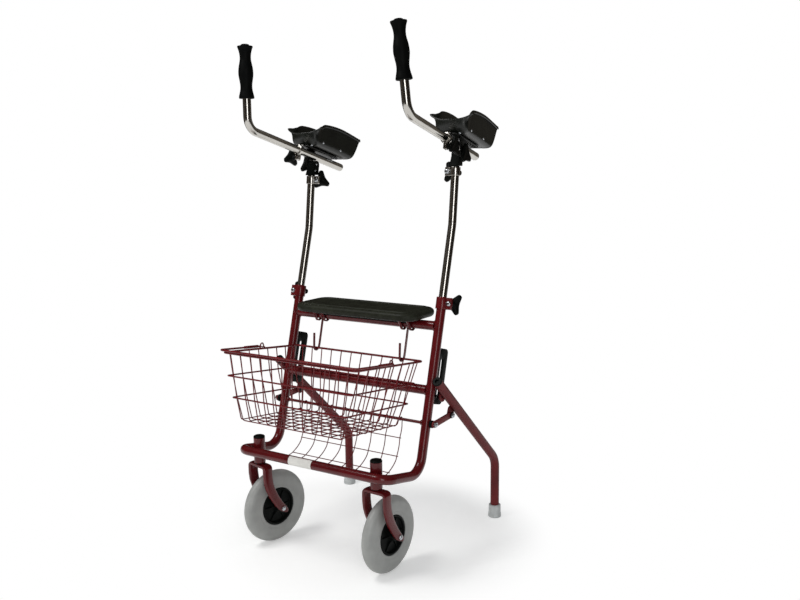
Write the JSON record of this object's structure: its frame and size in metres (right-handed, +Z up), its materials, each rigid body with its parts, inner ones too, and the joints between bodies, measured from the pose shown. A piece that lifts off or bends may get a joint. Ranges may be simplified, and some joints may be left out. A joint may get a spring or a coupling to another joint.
{
  "type": "forearm support walker",
  "caption": "Tube-frame forearm walker on front castors with folding rear legs, seat, lift-off basket, storage net and height-adjustable forearm troughs with hand grips.",
  "frame": {"origin": "middle of the object's outline on the floor", "axes": "+Z up, -Y to the front, +X to the walking user's left; symmetry plane X = 0 apart from the pole heights, the castor turns and the left forearm unit, which is swivelled 5 degrees"},
  "size_m": [0.5795, 0.6388, 1.3652],
  "materials": {
    "burgundy_paint": "gloss burgundy",
    "seat_plastic": "dark grey",
    "black_plastic": "black",
    "zinc_fastener": "zinc plated",
    "grey_tyre": "grey non-marking",
    "leg_paint": "satin brownish burgundy",
    "tip_rubber": "pale grey",
    "chrome_tube": "polished",
    "trough_plastic": "black moulded",
    "grip_rubber": "black soft"
  },
  "bodies": {
    "frame": {"front_frame": "burgundy_paint", "seat_crossbar": "burgundy_paint", "middle_crossbar": "burgundy_paint", "lower_rod": "burgundy_paint", "storage_net": "burgundy_paint", "seat": "seat_plastic", "guide_plate_left": "black_plastic", "castor_socket_left": "burgundy_paint", "castor_cap_left": "black_plastic", "castor_bush_left": "black_plastic", "frame_collar_left": "burgundy_paint", "guide_plate_right": "black_plastic", "castor_socket_right": "burgundy_paint", "castor_cap_right": "black_plastic", "castor_bush_right": "black_plastic", "frame_collar_right": "burgundy_paint"},
    "basket": {"basket": "burgundy_paint"},
    "handle": {"basket_handle": "burgundy_paint"},
    "castor_left": {"castor_fork_left": "burgundy_paint", "wheel_axle_left": "zinc_fastener"},
    "wheel_left": {"tyre_left": "grey_tyre", "wheel_hub_left": "black_plastic"},
    "link_left": {"folding_link_left": "leg_paint"},
    "leg_left": {"rear_leg_left": "leg_paint", "foot_tip_left": "tip_rubber", "leg_plug_left": "black_plastic", "slide_pin_left": "black_plastic", "link_bolt_left": "zinc_fastener"},
    "frame_knob_left": {"frame_knob_left": "black_plastic"},
    "pole_left": {"height_pole_left": "chrome_tube", "top_collar_left": "chrome_tube"},
    "top_knob_left": {"top_knob_left": "black_plastic"},
    "bracket_left": {"bracket_left": "black_plastic"},
    "trough_left": {"trough_plate_left": "black_plastic", "forearm_trough_left": "trough_plastic"},
    "tilt_knob_left": {"tilt_knob_left": "black_plastic"},
    "clip_knob_left": {"clip_knob_left": "black_plastic"},
    "bar_left": {"forearm_bar_left": "chrome_tube", "hand_grip_left": "grip_rubber"},
    "castor_right": {"castor_fork_right": "burgundy_paint", "wheel_axle_right": "zinc_fastener"},
    "wheel_right": {"tyre_right": "grey_tyre", "wheel_hub_right": "black_plastic"},
    "link_right": {"folding_link_right": "leg_paint"},
    "leg_right": {"rear_leg_right": "leg_paint", "foot_tip_right": "tip_rubber", "leg_plug_right": "black_plastic", "slide_pin_right": "black_plastic", "link_bolt_right": "zinc_fastener"},
    "frame_knob_right": {"frame_knob_right": "black_plastic"},
    "pole_right": {"height_pole_right": "chrome_tube", "top_collar_right": "chrome_tube"},
    "top_knob_right": {"top_knob_right": "black_plastic"},
    "bracket_right": {"bracket_right": "black_plastic"},
    "trough_right": {"trough_plate_right": "black_plastic", "forearm_trough_right": "trough_plastic"},
    "tilt_knob_right": {"tilt_knob_right": "black_plastic"},
    "clip_knob_right": {"clip_knob_right": "black_plastic"},
    "bar_right": {"forearm_bar_right": "chrome_tube", "hand_grip_right": "grip_rubber"}
  },
  "joints": [
    {"name": "basket_lift", "type": "slide", "parent": "frame", "child": "basket", "axis": [0, 0, 1], "range_m": [0, 0.05]},
    {"name": "handle_turn", "type": "hinge", "parent": "basket", "child": "handle", "pos_m": [0, -0.1611, 0.5449], "axis": [-1, 0, 0], "range_deg": [0, 95]},
    {"name": "castor_swivel_left", "type": "hinge", "parent": "frame", "child": "castor_left", "pos_m": [0.1915, -0.2061, 0], "axis": [0, 0, 1], "continuous": true},
    {"name": "wheel_spin_left", "type": "hinge", "parent": "castor_left", "child": "wheel_left", "pos_m": [0.19467, -0.16071, 0.1], "axis": [0.9976, -0.0698, 0], "continuous": true},
    {"name": "leg_fold_left", "type": "hinge", "parent": "frame", "child": "link_left", "pos_m": [0.26075, -0.0415, 0.3673], "axis": [1, 0, 0], "range_deg": [0, 62.15]},
    {"name": "leg_turn_left", "type": "hinge", "parent": "link_left", "child": "leg_left", "pos_m": [0.2642, 0.0459, 0.3715], "axis": [-1, 0, 0], "range_deg": [0, 125]},
    {"name": "frame_knob_turn_left", "type": "hinge", "parent": "frame", "child": "frame_knob_left", "pos_m": [0.2595, 0.04177, 0.67243], "axis": [0, 0.9647, -0.2634], "range_deg": [0, 360]},
    {"name": "pole_slide_left", "type": "slide", "parent": "frame", "child": "pole_left", "axis": [0, 0.2634, 0.9647], "range_m": [-0.1444, 0.0756]},
    {"name": "top_knob_turn_left", "type": "hinge", "parent": "pole_left", "child": "top_knob_left", "pos_m": [0.2155, 0.11257, 1.01072], "axis": [0, 0.9932, -0.1162], "range_deg": [0, 360]},
    {"name": "bracket_swivel_left", "type": "hinge", "parent": "pole_left", "child": "bracket_left", "pos_m": [0.2375, 0.11391, 1.02214], "axis": [0, 0.1162, 0.9932], "range_deg": [-30, 20]},
    {"name": "trough_tilt_left", "type": "hinge", "parent": "bracket_left", "child": "trough_left", "pos_m": [0.23685, 0.1251, 1.05404], "axis": [0.9962, 0.0866, -0.0101], "range_deg": [-11, 9]},
    {"name": "tilt_knob_turn_left", "type": "hinge", "parent": "trough_left", "child": "tilt_knob_left", "pos_m": [0.23685, 0.1251, 1.05404], "axis": [0.9962, 0.0866, -0.0101], "range_deg": [0, 360]},
    {"name": "clip_knob_turn_left", "type": "hinge", "parent": "trough_left", "child": "clip_knob_left", "pos_m": [0.24324, 0.05393, 1.07412], "axis": [0.9962, 0.0866, -0.0101], "range_deg": [0, 360]},
    {"name": "bar_slide_left", "type": "slide", "parent": "trough_left", "child": "bar_left", "axis": [-0.0865, 0.9679, -0.2361], "range_m": [-0.052, 0.088]},
    {"name": "castor_swivel_right", "type": "hinge", "parent": "frame", "child": "castor_right", "pos_m": [-0.1915, -0.2061, 0], "axis": [0, 0, 1], "continuous": true},
    {"name": "wheel_spin_right", "type": "hinge", "parent": "castor_right", "child": "wheel_right", "pos_m": [-0.18188, -0.16163, 0.1], "axis": [0.9774, -0.2113, 0], "continuous": true},
    {"name": "leg_fold_right", "type": "hinge", "parent": "frame", "child": "link_right", "pos_m": [-0.26075, -0.0415, 0.3673], "axis": [1, 0, 0], "range_deg": [0, 62.15]},
    {"name": "leg_turn_right", "type": "hinge", "parent": "link_right", "child": "leg_right", "pos_m": [-0.2642, 0.0459, 0.3715], "axis": [-1, 0, 0], "range_deg": [0, 125]},
    {"name": "frame_knob_turn_right", "type": "hinge", "parent": "frame", "child": "frame_knob_right", "pos_m": [-0.2595, 0.04177, 0.67243], "axis": [0, 0.9647, -0.2634], "range_deg": [0, 360]},
    {"name": "pole_slide_right", "type": "slide", "parent": "frame", "child": "pole_right", "axis": [0, 0.2634, 0.9647], "range_m": [-0.12, 0.1]},
    {"name": "top_knob_turn_right", "type": "hinge", "parent": "pole_right", "child": "top_knob_right", "pos_m": [-0.2155, 0.10614, 0.98718], "axis": [0, 0.9932, -0.1162], "range_deg": [0, 360]},
    {"name": "bracket_swivel_right", "type": "hinge", "parent": "pole_right", "child": "bracket_right", "pos_m": [-0.2375, 0.10748, 0.9986], "axis": [0, 0.1162, 0.9932], "range_deg": [-25, 25]},
    {"name": "trough_tilt_right", "type": "hinge", "parent": "bracket_right", "child": "trough_right", "pos_m": [-0.2375, 0.1187, 1.0305], "axis": [1, 0, 0], "range_deg": [-10, 10]},
    {"name": "tilt_knob_turn_right", "type": "hinge", "parent": "trough_right", "child": "tilt_knob_right", "pos_m": [-0.2375, 0.1187, 1.0305], "axis": [-1, 0, 0], "range_deg": [0, 360]},
    {"name": "clip_knob_turn_right", "type": "hinge", "parent": "trough_right", "child": "clip_knob_right", "pos_m": [-0.2375, 0.04762, 1.05185], "axis": [-1, 0, 0], "range_deg": [0, 360]},
    {"name": "bar_slide_right", "type": "slide", "parent": "trough_right", "child": "bar_right", "axis": [0, 0.9673, -0.2534], "range_m": [-0.06, 0.08]}
  ],
  "couplings": [
    {"joint": "leg_turn_left", "follows": "leg_fold_left", "ratio": 2.0105},
    {"joint": "leg_turn_right", "follows": "leg_fold_right", "ratio": 2.0105}
  ]
}
